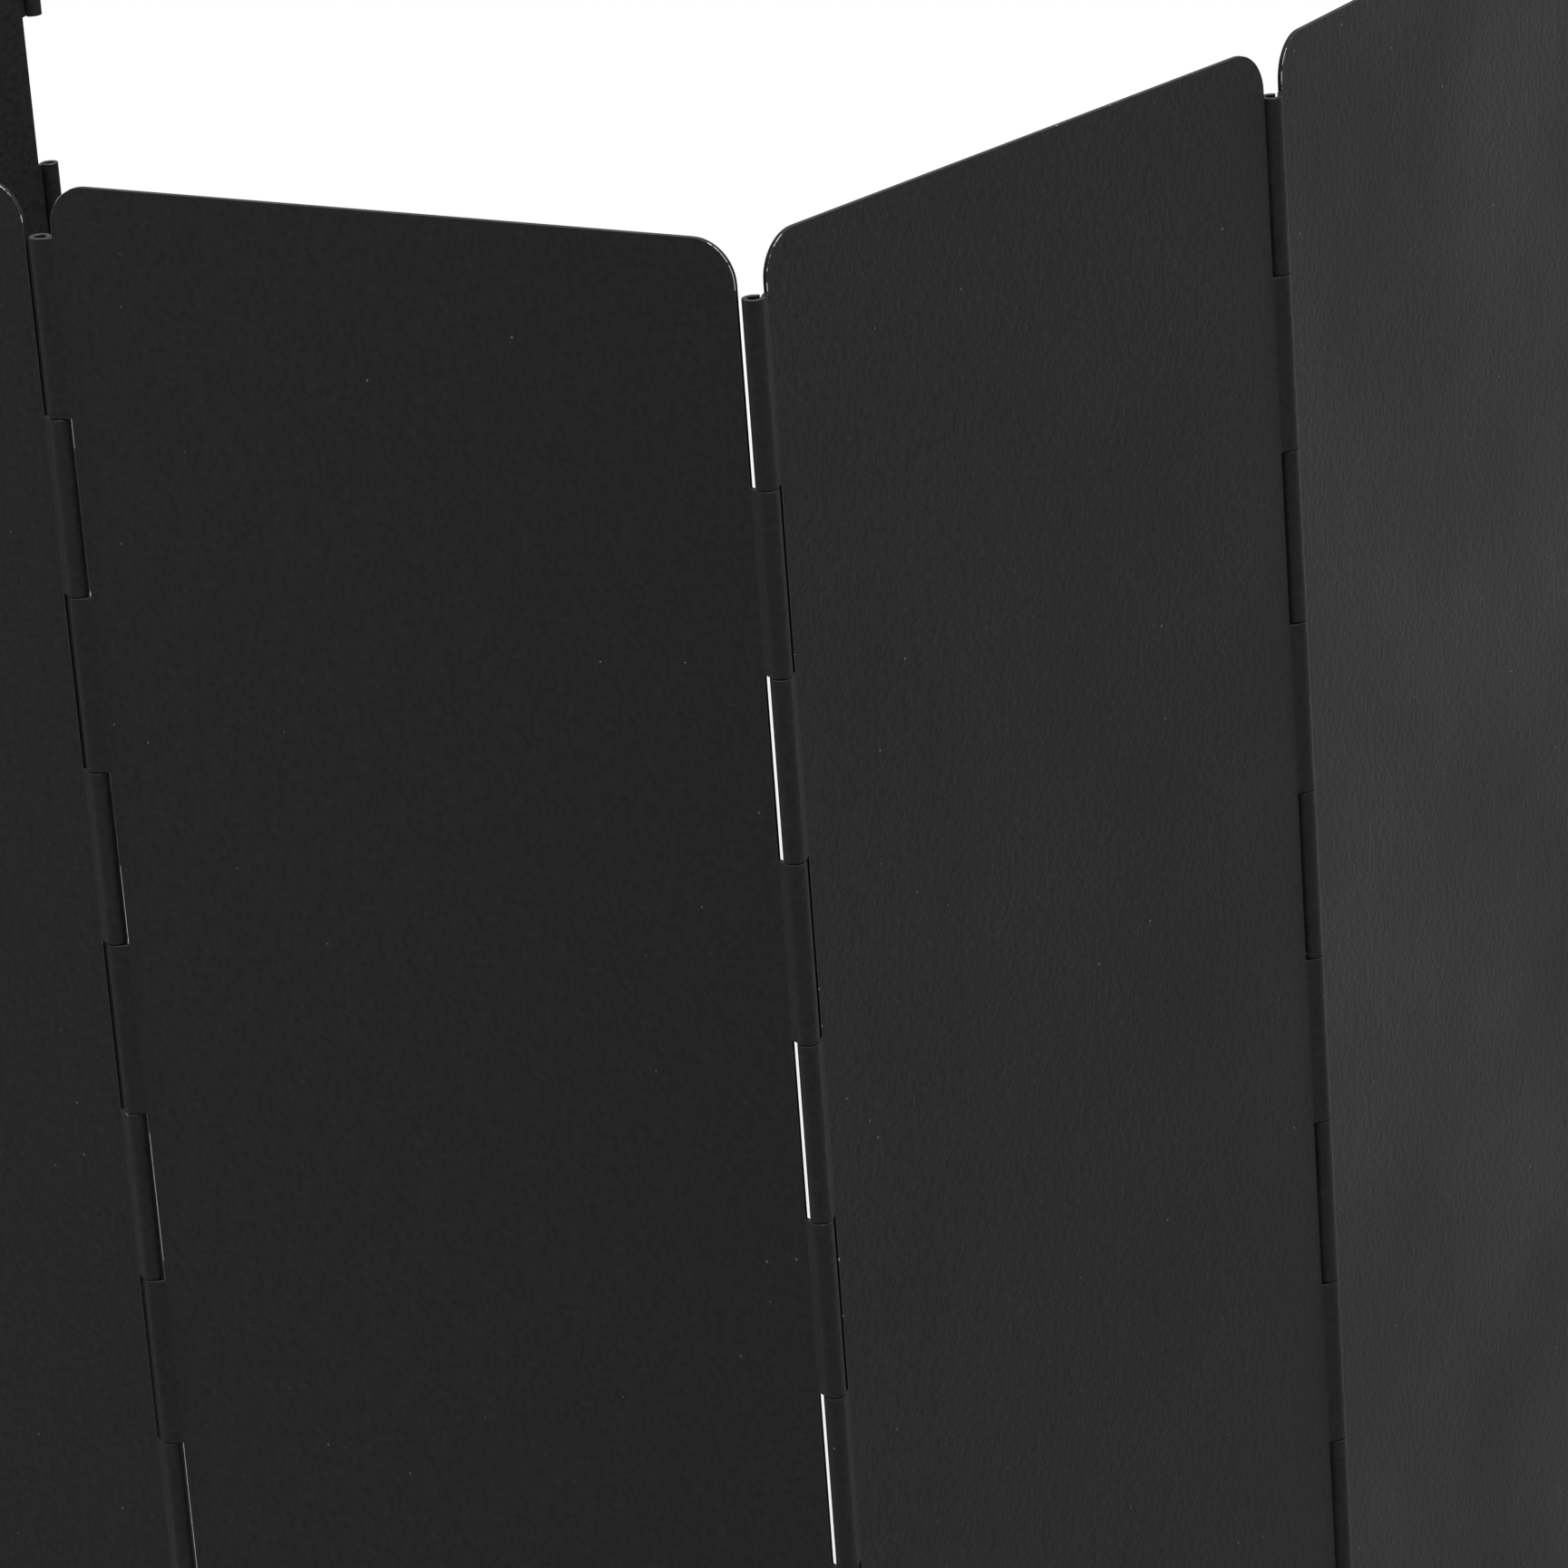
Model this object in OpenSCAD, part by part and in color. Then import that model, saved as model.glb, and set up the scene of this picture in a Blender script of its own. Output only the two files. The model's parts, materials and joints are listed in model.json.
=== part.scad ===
// Folding stove windscreen: ten sheet plates on nine rolled hinges, standing open round a stove.
// Millimetres, +Z up, origin at the middle of the footprint on the ground.
// The outside of the middle fold faces -Y, and the open side of the screen faces +Y.

/* [Plates] */
// Height of a plate
plate_h = 240; // [160:5:300]
// Distance along a plate between its two hinge axes
hinge_spacing = 83; // [60:1:120]
// Thickness of the sheet
sheet_t = 0.5; // [0.4:0.05:0.7]
// Radius of a plate's corners
corner_r = 4.5; // [3:0.5:10]

/* [Hinges] */
// Depth of a hinge's ends below the top edge and above the bottom edge
hinge_inset = 5.5; // [3:0.5:12]
// Knuckles in one hinge, half of them on each plate
knuckle_count = 12; // [6:2:16]
// Diameter of a hinge pin
pin_d = 1.2; // [1:0.1:1.6]
// Radial clearance between a pin and a knuckle
pin_clearance = 0.05; // [0.02:0.01:0.1]
// Open seam between the end of a rolled edge and the sheet
seam_gap = 0.12; // [0.06:0.02:0.16]
// Gap between a knuckle and the edge of the slot that it turns in
slot_clearance = 0.55; // [0.3:0.05:0.8]
// Gap between the ends of two knuckles
knuckle_gap = 0.25; // [0.15:0.05:0.5]
// Depth of a pin's ends below the ends of its hinge
pin_recess = 2; // [1:0.5:3]
// Length of the crimp in the top knuckle that holds the pin
crimp_l = 3; // [2:0.5:4]
// Amount by which the crimp is smaller than the pin, on the diameter
crimp_grip = 0.01; // [0.005:0.005:0.02]

/* [Standing shape] */
// Direction of the plate left of the middle fold, from +X
middle_heading = -30.5; // [-45:0.5:-15]
// Turn between plates 1 and 2
turn_1 = 53.5; // [30:0.5:100]
// Turn between plates 2 and 3
turn_2 = 52.5; // [20:0.5:80]
// Turn between plates 3 and 4
turn_3 = 1; // [-10:0.5:30]
// Turn between plates 4 and 5, the middle fold
turn_4 = 79.5; // [60:0.5:100]
// Turn between plates 5 and 6
turn_5 = 8.5; // [-10:0.5:20]
// Turn between plates 6 and 7
turn_6 = 15; // [0:0.5:30]
// Turn between plates 7 and 8
turn_7 = 15; // [0:0.5:30]
// Turn between plates 8 and 9
turn_8 = 9; // [-10:0.5:20]
// Turn between plates 9 and 10
turn_9 = 0; // [-30:0.5:20]

/* [Hidden] */
$fn = 48;
// Turns left of the plate that middle_heading belongs to, and right of it
left_turns = [turn_1, turn_2, turn_3];
right_turns = [turn_4, turn_5, turn_6, turn_7, turn_8, turn_9];
turns = concat(left_turns, right_turns);
hinge_count = len(turns);
plate_count = hinge_count + 1;
middle_plate = len(left_turns) + 1;

// Rolled knuckle: the sheet goes once round the pin, whose axis lies in the middle of the sheet
bore_d = pin_d + 2 * pin_clearance;
barrel_d = bore_d + 2 * sheet_t;
crimp_d = pin_d - crimp_grip;
// Slots and corners end this far from a hinge axis
slot_edge = barrel_d / 2 + slot_clearance;

// Upright layout of a hinge
hinge_bottom = hinge_inset;
hinge_top = plate_h - hinge_inset;
knuckle_pitch = (hinge_top - hinge_bottom) / knuckle_count;
pin_bottom = hinge_bottom + pin_recess;
pin_top = hinge_top - pin_recess;
crimp_top = pin_top - crimp_l;

// Names of the pieces, numbered from the left end of the screen
function numbered(name, i) = str(name, i < 10 ? "_0" : "_", i);
function plate_name(i) = numbered("plate", i);
function pin_name(i) = numbered("hinge_pin", i);

// Direction of plate i from +X, seen from above
function heading(i) =
    i == middle_plate ? middle_heading
    : i > middle_plate ? heading(i - 1) + turns[i - 2]
    : heading(i + 1) - turns[i - 1];

// Hinge axes in plan, from the left free edge on, and then about the middle of the footprint.
// Hinge 0 is the left free edge, and hinge i is the right edge of plate i.
function plate_step(i) = hinge_spacing * [cos(heading(i)), sin(heading(i))];
function chain_point(h) = h == 0 ? [0, 0] : chain_point(h - 1) + plate_step(h);
chain = [for (h = [0 : plate_count]) chain_point(h)];
chain_x = [for (p = chain) p[0]];
chain_y = [for (p = chain) p[1]];
chain_middle = [min(chain_x) + max(chain_x), min(chain_y) + max(chain_y)] / 2;
function hinge_axis(h) = chain[h] - chain_middle;

// Counted from the top, odd knuckles are on left edges and even ones on right edges
left_knuckles = [1 : 2 : knuckle_count];
right_knuckles = [2 : 2 : knuckle_count];
function knuckle_bottom(k) = hinge_top - k * knuckle_pitch + knuckle_gap / 2;
knuckle_l = knuckle_pitch - knuckle_gap;

// Flat outline of a plate, X along it and Y up: rounded between its slots, with a tab at each knuckle
module plate_outline() {
    body_w = hinge_spacing - 2 * slot_edge;
    translate([slot_edge, 0]) {
        translate([corner_r, 0]) square([body_w - 2 * corner_r, plate_h]);
        translate([0, corner_r]) square([body_w, plate_h - 2 * corner_r]);
        for (x = [corner_r, body_w - corner_r], y = [corner_r, plate_h - corner_r])
            translate([x, y]) circle(r = corner_r);
    }
    for (k = left_knuckles)
        translate([0, knuckle_bottom(k)]) square([slot_edge + corner_r, knuckle_l]);
    for (k = right_knuckles)
        translate([hinge_spacing - slot_edge - corner_r, knuckle_bottom(k)])
            square([slot_edge + corner_r, knuckle_l]);
}

// Outside of the rolled knuckles of one edge, on its hinge axis
module barrels(knuckles) {
    for (k = knuckles)
        translate([0, 0, knuckle_bottom(k)]) cylinder(d = barrel_d, h = knuckle_l);
}

// Hole down one edge: a crimped one grips the pin over a short stretch near its top
module pin_hole(crimped) {
    narrow_d = crimped ? crimp_d : bore_d;
    cylinder(d = narrow_d, h = plate_h);
    cylinder(d = bore_d, h = crimp_top);
    translate([0, 0, crimp_top + crimp_l]) cylinder(d = bore_d, h = plate_h - crimp_top - crimp_l);
}

// Seam where the roll ends short of the sheet, along the inner face of the sheet
module seam() {
    translate([0, sheet_t / 2, 0]) cube([barrel_d, seam_gap, plate_h]);
}

// One plate along +X from its left axis, with the middle of its sheet on Y = 0 and its inner face to +Y
module rolled_plate(crimped) {
    right_axis = [hinge_spacing, 0, 0];
    difference() {
        union() {
            translate([0, sheet_t / 2, 0]) rotate([90, 0, 0]) linear_extrude(sheet_t) plate_outline();
            barrels(left_knuckles);
            translate(right_axis) barrels(right_knuckles);
        }
        pin_hole(crimped);
        seam();
        translate(right_axis) {
            pin_hole(false);
            mirror([1, 0, 0]) seam();
        }
    }
}

// Plate i in its place. The left free edge has no pin, so only the other plates are crimped.
module plate(i) {
    color("#262626")
        translate(hinge_axis(i - 1)) rotate(heading(i)) rolled_plate(i > 1);
}

// Pin of the hinge between plates i and i + 1
module hinge_pin(i) {
    color("silver")
        translate(hinge_axis(i)) translate([0, 0, pin_bottom])
            cylinder(d = pin_d, h = pin_top - pin_bottom);
}

for (i = [1 : plate_count]) plate(i);
for (i = [1 : hinge_count]) hinge_pin(i);
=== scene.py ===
# Folding stove windscreen: black coated aluminium plates on wire hinge pins, standing open round a stove
import json
import math
import bpy
from mathutils import Matrix, Vector


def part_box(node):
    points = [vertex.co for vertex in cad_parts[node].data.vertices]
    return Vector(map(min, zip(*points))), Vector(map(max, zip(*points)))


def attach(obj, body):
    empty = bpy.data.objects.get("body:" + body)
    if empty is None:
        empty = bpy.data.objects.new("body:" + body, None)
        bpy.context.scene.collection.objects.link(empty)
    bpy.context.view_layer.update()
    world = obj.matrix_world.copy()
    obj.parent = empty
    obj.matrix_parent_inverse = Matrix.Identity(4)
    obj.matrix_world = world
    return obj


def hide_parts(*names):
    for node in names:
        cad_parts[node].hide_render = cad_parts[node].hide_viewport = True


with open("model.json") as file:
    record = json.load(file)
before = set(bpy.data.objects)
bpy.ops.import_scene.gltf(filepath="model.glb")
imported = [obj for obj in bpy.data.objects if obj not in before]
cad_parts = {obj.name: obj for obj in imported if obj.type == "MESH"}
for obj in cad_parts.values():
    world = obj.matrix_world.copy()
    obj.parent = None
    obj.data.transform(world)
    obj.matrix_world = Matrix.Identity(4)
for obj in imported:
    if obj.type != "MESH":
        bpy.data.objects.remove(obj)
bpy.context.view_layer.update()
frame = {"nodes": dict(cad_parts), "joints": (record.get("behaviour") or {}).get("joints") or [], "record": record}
record = frame["record"]
print("frame loaded:", len(frame["nodes"]), "nodes")


def hexColour(code):
    # sRGB hex to the linear values that the nodes work in
    channels = [int(code[i:i + 2], 16) / 255 for i in (0, 2, 4)]
    linear = [c / 12.92 if c <= 0.04045 else ((c + 0.055) / 1.055) ** 2.4 for c in channels]
    return (*linear, 1.0)


def addNode(tree, kind, settings, links):
    # a setting is a property of the node, or the value of an input by name or number
    node = tree.nodes.new("ShaderNode" + kind)
    for key, value in settings.items():
        if isinstance(key, str) and hasattr(node, key):
            setattr(node, key, value)
        else:
            node.inputs[key].default_value = value
    for key, source in links.items():
        tree.links.new(source, node.inputs[key])
    return node


def startMaterial(name):
    # a new material with its node tree and its shader
    material = bpy.data.materials.new(name)
    material.use_nodes = True
    tree = material.node_tree
    return material, tree, tree.nodes["Principled BSDF"]


# Camera at the photograph's viewing angle, aimed over the middle fold
cameraSize = {
    "eye": (0.01666, -0.868893, 0.413051),
    "yaw": 0.4955,
    "pitch": 19.6141,
    "roll": 4.2832,
    "focalPixels": 7688.75,
    "imagePixels": 1729,
    "sensor": 36.0,
    "clip": (0.01, 50),
}


def addCamera(size):
    bpy.ops.object.camera_add(location=size["eye"])
    camera = bpy.context.object
    camera.name = "photoCamera"
    camera.data.sensor_width = size["sensor"]
    camera.data.lens = size["sensor"] * size["focalPixels"] / size["imagePixels"]
    camera.data.clip_start, camera.data.clip_end = size["clip"]
    turn = Matrix.Rotation(math.radians(size["yaw"]), 4, "Z")
    turn = turn @ Matrix.Rotation(math.radians(90 - size["pitch"]), 4, "X")
    turn = turn @ Matrix.Rotation(math.radians(-size["roll"]), 4, "Z")
    camera.rotation_euler = turn.to_euler()
    bpy.context.scene.camera = camera


addCamera(cameraSize)
print("camera placed")

# One plate: a flat blank whose tabs are rolled round the hinge axes
plateSize = {
    "height": 0.240,
    "axisSpacing": 0.083,
    "sheet": 0.0005,
    "cornerRadius": 0.0045,
    "cornerSteps": 12,
    "hingeInset": 0.0055,
    "knuckles": 12,
    "knuckleGap": 0.00014,
    "slotEdge": 0.0017,  # distance of the slots from a hinge axis
    "bendRadius": 0.0005,
    "bendSteps": 4,
    "bendStrip": 0.0005,  # narrow faces beside a bend keep the wide ones flat
    "rollRadius": 0.0009,  # to the middle of the sheet
    "rollInside": 0.00012,  # the rolls sit a little towards the inside of the screen
    "rollSweep": 296,
    "rollSteps": 28,
    "arris": 0.00007,
    "arrisAngle": 40,
    "smoothAngle": 30,
    "cutWeld": 1e-7,
    "weld": 1e-6,
}


def pickEdges(piece, wanted):
    # leaves the piece in edit mode with only the wanted edges selected
    bpy.ops.object.mode_set(mode="OBJECT")
    mesh = piece.data
    for part in (mesh.vertices, mesh.edges, mesh.polygons):
        part.foreach_set("select", [False] * len(part))
    for edge in mesh.edges:
        first, second = (mesh.vertices[i] for i in edge.vertices)
        if wanted(first.co, second.co):
            edge.select = True
            first.select = True
            second.select = True
    bpy.context.tool_settings.mesh_select_mode = (False, True, False)
    bpy.ops.object.mode_set(mode="EDIT")


def cutAcross(size, place, direction):
    bpy.ops.mesh.select_all(action="SELECT")
    bpy.ops.mesh.bisect(plane_co=place, plane_no=direction, threshold=size["cutWeld"])


def mergeDoubles(size):
    bpy.ops.mesh.select_all(action="SELECT")
    bpy.ops.mesh.remove_doubles(threshold=size["weld"])


def knuckleSpan(size, number):
    # lower and upper end of a knuckle, counted from the top
    pitch = (size["height"] - 2 * size["hingeInset"]) / size["knuckles"]
    top = size["height"] - size["hingeInset"] - (number - 1) * pitch
    return top - pitch + size["knuckleGap"] / 2, top - size["knuckleGap"] / 2


def rollTabs(piece, size, edgeX, axisX, spans):
    # bends the tabs of one edge towards the outside, then rolls them round the hinge axis to the inside
    def isTab(a, b):
        onEdge = max(abs(a.x - edgeX), abs(b.x - edgeX)) < size["weld"]
        middle = (a.y + b.y) / 2
        return onEdge and any(low < middle < high for low, high in spans)

    pickEdges(piece, isTab)
    inward = math.copysign(1, edgeX - axisX)
    slot = size["slotEdge"]
    bend = size["bendRadius"]
    both = bend + size["rollRadius"]
    high = bend + size["rollInside"]
    # slope of the straight stretch that touches both the bend and the roll
    slope = math.asin(both / math.hypot(slot, high)) - math.atan2(high, slot)
    bpy.ops.mesh.spin(steps=size["bendSteps"], angle=slope, center=(edgeX, 0, bend), axis=(0, -inward, 0))
    rise = (inward * (both * math.sin(slope) - slot), 0, both * math.cos(slope) - high)
    bpy.ops.mesh.extrude_region_move(TRANSFORM_OT_translate={"value": rise})
    bpy.ops.mesh.spin(steps=size["rollSteps"], angle=math.radians(size["rollSweep"]),
                      center=(axisX, 0, -size["rollInside"]), axis=(0, inward, 0))


def rollBlank(size):
    bpy.ops.object.select_all(action="DESELECT")
    bpy.ops.mesh.primitive_plane_add(size=1)
    piece = bpy.context.object
    bpy.ops.object.mode_set(mode="EDIT")
    bodyWidth = size["axisSpacing"] - 2 * size["slotEdge"]
    bpy.ops.transform.resize(value=(bodyWidth, size["height"], 1))
    bpy.ops.transform.translate(value=(size["axisSpacing"] / 2, size["height"] / 2, 0))
    bpy.ops.mesh.select_all(action="SELECT")
    bpy.ops.mesh.bevel(offset=size["cornerRadius"], segments=size["cornerSteps"], affect="VERTICES")
    # counted from the top, odd knuckles are on the left edge and even ones on the right edge
    leftSpans = [knuckleSpan(size, k) for k in range(1, size["knuckles"] + 1, 2)]
    rightSpans = [knuckleSpan(size, k) for k in range(2, size["knuckles"] + 1, 2)]
    for level in sorted(end for span in leftSpans + rightSpans for end in span):
        cutAcross(size, (0, level, 0), (0, 1, 0))
    leftEdge = size["slotEdge"]
    rightEdge = size["axisSpacing"] - size["slotEdge"]
    for x in (leftEdge + size["bendStrip"], rightEdge - size["bendStrip"]):
        cutAcross(size, (x, 0, 0), (1, 0, 0))
    rollTabs(piece, size, leftEdge, 0, leftSpans)
    rollTabs(piece, size, rightEdge, size["axisSpacing"], rightSpans)
    mergeDoubles(size)
    bpy.ops.mesh.normals_make_consistent(inside=False)
    bpy.ops.object.mode_set(mode="OBJECT")
    return piece


def thickenSheet(piece, size, coating, arris):
    piece.data.materials.append(coating)
    piece.data.materials.append(arris)
    wall = piece.modifiers.new("wall", "SOLIDIFY")
    wall.thickness = size["sheet"]
    wall.offset = 0
    wall.use_even_offset = True
    bpy.ops.object.modifier_apply(modifier=wall.name)
    arrisBevel = piece.modifiers.new("arris", "BEVEL")
    arrisBevel.width = size["arris"]
    arrisBevel.segments = 1
    arrisBevel.limit_method = "ANGLE"
    arrisBevel.angle_limit = math.radians(size["arrisAngle"])
    arrisBevel.material = piece.data.materials.find(arris.name)
    bpy.ops.object.modifier_apply(modifier=arrisBevel.name)
    bpy.ops.object.mode_set(mode="EDIT")
    mergeDoubles(size)
    bpy.ops.object.mode_set(mode="OBJECT")


def makePlate(size, coating, arris):
    piece = rollBlank(size)
    thickenSheet(piece, size, coating, arris)
    # stood up with its hinge axes upright, the left one at the origin, and its inner face towards +Y
    piece.rotation_euler = (math.radians(90), 0, 0)
    piece.location = (0, -size["rollInside"], 0)
    bpy.ops.object.transform_apply(location=True, rotation=True, scale=False)
    return piece


# Sprayed black coating on aluminium sheet: satin, with a fine orange peel and a little pale dust
coatingLook = {
    "black": "131313",
    "paler": "1f1f1f",
    "dust": "6e6d6a",
    "specular": 0.12,
    "roughness": (0.44, 0.56),
    "cloudSize": 0.03,
    "cloudShare": 0.3,
    "cloudRange": (0.3, 0.7),
    "mottleSize": 0.0007,
    "toneRange": (0.4, 0.9),
    "toneDetail": 3.0,
    "dustSpacing": 0.003,
    "dustRadius": 0.00012,
    "peelSize": 0.0009,
    "peelDepth": 0.00014,
    "peelStrength": 0.5,
    "gritSize": 0.00045,
    "gritShare": 0.3,
    "reliefDetail": 1.0,
}


def makeCoating(look):
    material, tree, shader = startMaterial("sprayedBlackAluminium")
    shader.inputs["Specular IOR Level"].default_value = look["specular"]
    place = addNode(tree, "TexCoord", {}, {})
    at = place.outputs["Object"]
    # uneven black: wide clouds under a fine mottle
    cloud = addNode(tree, "TexNoise", {"Scale": 1 / look["cloudSize"], "Detail": look["toneDetail"]},
                    {"Vector": at})
    mottle = addNode(tree, "TexNoise", {"Scale": 1 / look["mottleSize"], "Detail": look["toneDetail"]},
                     {"Vector": at})
    blotch = addNode(tree, "Math", {"operation": "MULTIPLY_ADD", 1: look["cloudShare"]},
                     {0: cloud.outputs["Fac"], 2: mottle.outputs["Fac"]})
    darkEnd, paleEnd = look["toneRange"]
    tone = addNode(tree, "MapRange", {"From Min": darkEnd, "From Max": paleEnd}, {"Value": blotch.outputs[0]})
    shade = addNode(tree, "MixRGB", {1: hexColour(look["black"]), 2: hexColour(look["paler"])},
                    {0: tone.outputs["Result"]})
    # dust: one speck in most cells, of uneven size
    cells = addNode(tree, "TexVoronoi", {"Scale": 1 / look["dustSpacing"]}, {"Vector": at})
    luck = addNode(tree, "SeparateColor", {}, {"Color": cells.outputs["Color"]})
    reach = addNode(tree, "Math", {"operation": "MULTIPLY", 1: look["dustRadius"] / look["dustSpacing"]},
                    {0: luck.outputs["Red"]})
    speck = addNode(tree, "Math", {"operation": "LESS_THAN"},
                    {0: cells.outputs["Distance"], 1: reach.outputs[0]})
    colour = addNode(tree, "MixRGB", {2: hexColour(look["dust"])}, {0: speck.outputs[0], 1: shade.outputs[0]})
    tree.links.new(colour.outputs[0], shader.inputs["Base Color"])
    # the clouds are also a little more or less glossy
    cloudLow, cloudHigh = look["cloudRange"]
    smooth, rough = look["roughness"]
    gloss = addNode(tree, "MapRange", {"From Min": cloudLow, "From Max": cloudHigh,
                                       "To Min": smooth, "To Max": rough},
                    {"Value": cloud.outputs["Fac"]})
    tree.links.new(gloss.outputs["Result"], shader.inputs["Roughness"])
    # orange peel with a finer grit on it
    peel = addNode(tree, "TexNoise", {"Scale": 1 / look["peelSize"], "Detail": look["reliefDetail"]},
                   {"Vector": at})
    grit = addNode(tree, "TexNoise", {"Scale": 1 / look["gritSize"], "Detail": look["reliefDetail"]},
                   {"Vector": at})
    height = addNode(tree, "Math", {"operation": "MULTIPLY_ADD", 1: look["gritShare"]},
                     {0: grit.outputs["Fac"], 2: peel.outputs["Fac"]})
    bump = addNode(tree, "Bump", {"Strength": look["peelStrength"], "Distance": look["peelDepth"]},
                   {"Height": height.outputs[0]})
    tree.links.new(bump.outputs["Normal"], shader.inputs["Normal"])
    return material


# Arris of the cut sheet: the coating is thin there, and bare aluminium shines where the corners are rubbed
arrisLook = {
    "black": "1c1c1c",
    "bare": "c9c9c8",
    "roughness": 0.38,
    "chipSize": 0.0009,
    "chipDetail": 3.0,
    "chipEdge": 0.04,
    "straightWear": 0.68,
    "cornerWear": 0.46,
    "aboveHinge": (0.0001, 0.0003),  # where the wear of a corner sets in
    "beforeEdge": (0.0005, 0.0002),  # where it ends, short of the straight edge
}


def makeArris(look, size):
    material, tree, shader = startMaterial("rubbedAluminiumArris")
    shader.inputs["Roughness"].default_value = look["roughness"]
    place = addNode(tree, "TexCoord", {}, {})
    chips = addNode(tree, "TexNoise", {"Scale": 1 / look["chipSize"], "Detail": look["chipDetail"]},
                    {"Vector": place.outputs["Object"]})
    # the rounded corners lie just below the top edge and just above the bottom edge
    half = size["height"] / 2
    hingeEnd = half - size["hingeInset"]
    split = addNode(tree, "SeparateXYZ", {}, {"Vector": place.outputs["Object"]})
    fromMiddle = addNode(tree, "Math", {"operation": "SUBTRACT", 1: half}, {0: split.outputs["Z"]})
    up = addNode(tree, "Math", {"operation": "ABSOLUTE"}, {0: fromMiddle.outputs[0]})
    wearStart, wearFull = look["aboveHinge"]
    corner = addNode(tree, "MapRange", {"From Min": hingeEnd + wearStart, "From Max": hingeEnd + wearFull,
                                        "To Min": look["straightWear"], "To Max": look["cornerWear"]},
                     {"Value": up.outputs[0]})
    fadeStart, fadeFull = look["beforeEdge"]
    edge = addNode(tree, "MapRange", {"From Min": half - fadeStart, "From Max": half - fadeFull,
                                      "To Min": 0.0, "To Max": look["straightWear"] - look["cornerWear"]},
                   {"Value": up.outputs[0]})
    limit = addNode(tree, "Math", {"operation": "ADD"},
                    {0: corner.outputs["Result"], 1: edge.outputs["Result"]})
    over = addNode(tree, "Math", {"operation": "SUBTRACT"}, {0: chips.outputs["Fac"], 1: limit.outputs[0]})
    bare = addNode(tree, "MapRange", {"From Min": 0.0, "From Max": look["chipEdge"]},
                   {"Value": over.outputs[0]})
    colour = addNode(tree, "MixRGB", {1: hexColour(look["black"]), 2: hexColour(look["bare"])},
                     {0: bare.outputs["Result"]})
    tree.links.new(colour.outputs[0], shader.inputs["Base Color"])
    tree.links.new(bare.outputs["Result"], shader.inputs["Metallic"])
    return material


blackCoating = makeCoating(coatingLook)
rubbedArris = makeArris(arrisLook, plateSize)
print("finishes made")

blankPlate = makePlate(plateSize, blackCoating, rubbedArris)
print("plate modelled:", len(blankPlate.data.polygons), "faces")

# Hinge axes in plan, from the left free edge to the right one
mountPlace = {mount["name"]: mount["pos_m"] for mount in record["mounts"]}
jointPlace = {joint["name"]: joint["pos_m"] for joint in frame["joints"]}
hingeNumbers = range(1, len(jointPlace) + 1)
axes = [mountPlace["left_end_bore"]]
axes += [jointPlace["hinge_%02d" % i] for i in hingeNumbers]
axes += [mountPlace["right_end_bore"]]


def placePlate(blank, size, number):
    bpy.ops.object.select_all(action="DESELECT")
    blank.select_set(True)
    bpy.context.view_layer.objects.active = blank
    bpy.ops.object.duplicate(linked=False)
    piece = bpy.context.object
    left = Vector(axes[number - 1])
    along = Vector(axes[number]) - left
    heading = math.atan2(along.y, along.x)
    piece.location = (left.x, left.y, 0)
    piece.rotation_euler = (0, 0, heading)
    bpy.ops.object.transform_apply(location=True, rotation=True, scale=True)
    bpy.ops.object.shade_smooth_by_angle(angle=math.radians(size["smoothAngle"]))
    node = "plate_%02d" % number
    piece.name = "rolledPlate_%02d" % number
    piece.data.name = piece.name
    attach(piece, node)
    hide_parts(node)


for number in range(1, len(axes)):
    placePlate(blankPlate, plateSize, number)
bpy.data.objects.remove(blankPlate)
print("plates placed")

# Hinge pins: straight drawn steel wire with chamfered ends
pinSize = {
    "diameter": 0.0012,
    "sides": 24,
    "chamfer": 0.0002,
    "chamferSteps": 2,
    "chamferAngle": 60,
    "smoothAngle": 40,
    "steel": ("3c3c3d", "5a5a5b"),
    "roughness": (0.28, 0.42),
    "drawMark": 0.00012,
    "drawDetail": 2.0,
    "drawStretch": (1, 1, 0.02),  # drawing leaves fine lines along the wire
}


def makeWire(size):
    material, tree, shader = startMaterial("drawnSteelWire")
    shader.inputs["Metallic"].default_value = 1.0
    place = addNode(tree, "TexCoord", {}, {})
    along = addNode(tree, "Mapping", {"Scale": size["drawStretch"]}, {"Vector": place.outputs["Object"]})
    lines = addNode(tree, "TexNoise", {"Scale": 1 / size["drawMark"], "Detail": size["drawDetail"]},
                    {"Vector": along.outputs["Vector"]})
    dark, light = size["steel"]
    colour = addNode(tree, "MixRGB", {1: hexColour(dark), 2: hexColour(light)}, {0: lines.outputs["Fac"]})
    tree.links.new(colour.outputs[0], shader.inputs["Base Color"])
    smooth, rough = size["roughness"]
    gloss = addNode(tree, "MapRange", {"To Min": smooth, "To Max": rough}, {"Value": lines.outputs["Fac"]})
    tree.links.new(gloss.outputs["Result"], shader.inputs["Roughness"])
    return material


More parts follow.
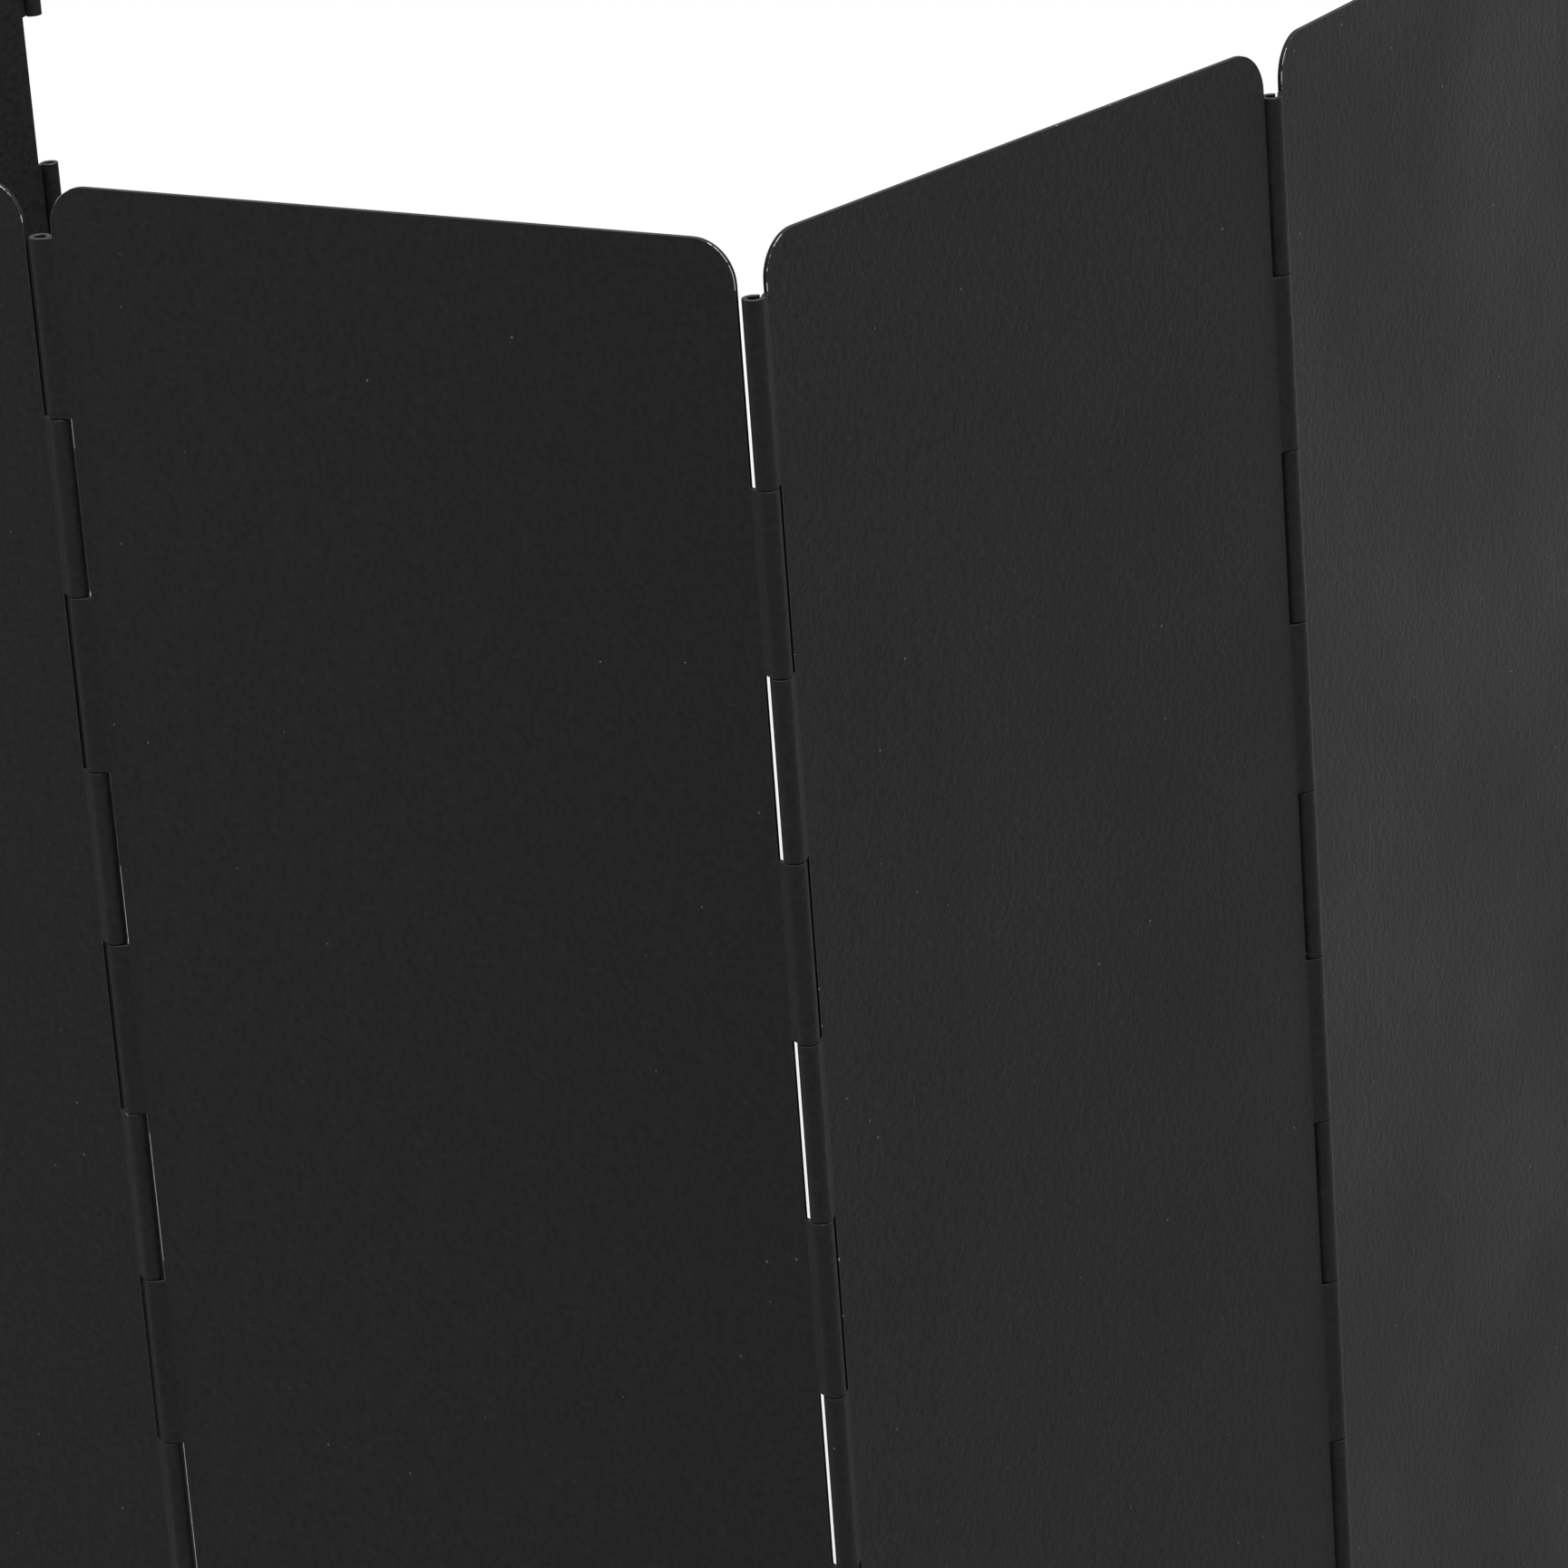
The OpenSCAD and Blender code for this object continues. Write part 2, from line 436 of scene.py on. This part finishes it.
def makePin(size, number, material):
    node = "hinge_pin_%02d" % number
    low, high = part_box(node)
    middle = [(a + b) / 2 for a, b in zip(low, high)]
    bpy.ops.object.select_all(action="DESELECT")
    bpy.ops.mesh.primitive_cylinder_add(vertices=size["sides"], radius=size["diameter"] / 2,
                                        depth=high[2] - low[2], location=middle)
    piece = bpy.context.object
    bpy.ops.object.transform_apply(location=True, rotation=False, scale=False)
    ends = piece.modifiers.new("ends", "BEVEL")
    ends.width = size["chamfer"]
    ends.segments = size["chamferSteps"]
    ends.limit_method = "ANGLE"
    ends.angle_limit = math.radians(size["chamferAngle"])
    bpy.ops.object.modifier_apply(modifier=ends.name)
    bpy.ops.object.shade_smooth_by_angle(angle=math.radians(size["smoothAngle"]))
    piece.name = "hingeWire_%02d" % number
    piece.data.name = piece.name
    piece.data.materials.append(material)
    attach(piece, "plate_%02d" % (number + 1))
    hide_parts(node)


steelWire = makeWire(pinSize)
for number in hingeNumbers:
    makePin(pinSize, number, steelWire)
print("pins placed")


def paleRays(tree):
    # 1 for rays that see the white background: straight, in a mirror or through glass
    path = addNode(tree, "LightPath", {}, {})
    straight = addNode(tree, "Math", {"operation": "MAXIMUM"},
                       {0: path.outputs["Is Camera Ray"], 1: path.outputs["Is Glossy Ray"]})
    seen = addNode(tree, "Math", {"operation": "MAXIMUM"},
                   {0: straight.outputs[0], 1: path.outputs["Is Transmission Ray"]})
    return seen.outputs[0]


# Pale floor: it keeps the shadow near the screen and fades to the white surround further out
floorLook = {
    "size": 16,
    "drop": 0.0002,  # just below the edges that the screen stands on
    "paint": "e6e6e4",
    "glow": "ffffff",
    "roughness": 0.7,
    "near": 0.25,
    "far": 0.6,
    "nearGlow": 0.5,
    "farGlow": 1.0,
}


def layFloor(look):
    bpy.ops.object.select_all(action="DESELECT")
    bpy.ops.mesh.primitive_plane_add(size=look["size"], location=(0, 0, -look["drop"]))
    floor = bpy.context.object
    floor.name = "floor"
    paint, tree, shader = startMaterial("paleFloorPaint")
    shader.inputs["Base Color"].default_value = hexColour(look["paint"])
    shader.inputs["Roughness"].default_value = look["roughness"]
    glow = addNode(tree, "Emission", {"Color": hexColour(look["glow"]), "Strength": 1.0}, {})
    place = addNode(tree, "TexCoord", {}, {})
    reach = addNode(tree, "VectorMath", {"operation": "LENGTH"}, {0: place.outputs["Object"]})
    fade = addNode(tree, "MapRange", {"From Min": look["near"], "From Max": look["far"],
                                      "To Min": look["nearGlow"], "To Max": look["farGlow"]},
                   {"Value": reach.outputs["Value"]})
    seen = addNode(tree, "Math", {"operation": "MULTIPLY"},
                   {0: paleRays(tree), 1: fade.outputs["Result"]})
    mix = addNode(tree, "MixShader", {}, {0: seen.outputs[0], 1: shader.outputs[0], 2: glow.outputs[0]})
    tree.links.new(mix.outputs[0], tree.nodes["Material Output"].inputs["Surface"])
    floor.data.materials.append(paint)


layFloor(floorLook)
print("floor laid")

# Soft studio light: a white surround, a soft box overhead and a weak one on the far end plate
surroundLook = {"colour": "ffffff", "light": 0.7, "seen": 1.0}
lampSize = {
    "topBox": {
        "place": (-0.1, 0.0, 1.6),
        "aim": (0, 0, 0.1),
        "size": 1.4,
        "spread": 180,
        "power": 12,
    },
    "endBox": {
        "place": (0.03, -0.16, 0.42),
        "aim": (-0.11, -0.035, 0.17),
        "size": 0.2,
        "spread": 60,
        "power": 0.2,
    },
}


def lightSurround(look):
    world = bpy.data.worlds.new("studio")
    bpy.context.scene.world = world
    world.use_nodes = True
    tree = world.node_tree
    surround = tree.nodes["Background"]
    surround.inputs["Color"].default_value = hexColour(look["colour"])
    level = addNode(tree, "MapRange", {"To Min": look["light"], "To Max": look["seen"]},
                    {"Value": paleRays(tree)})
    tree.links.new(level.outputs["Result"], surround.inputs["Strength"])


def hangLamp(name, lamp):
    bpy.ops.object.light_add(type="AREA", location=lamp["place"])
    box = bpy.context.object
    box.name = name
    box.data.size = lamp["size"]
    box.data.spread = math.radians(lamp["spread"])
    box.data.energy = lamp["power"]
    towards = Vector(lamp["aim"]) - Vector(lamp["place"])
    box.rotation_euler = towards.to_track_quat("-Z", "Y").to_euler()


lightSurround(surroundLook)
for name, lamp in lampSize.items():
    hangLamp(name, lamp)
bpy.context.scene.view_settings.view_transform = "Standard"
print("studio lit")
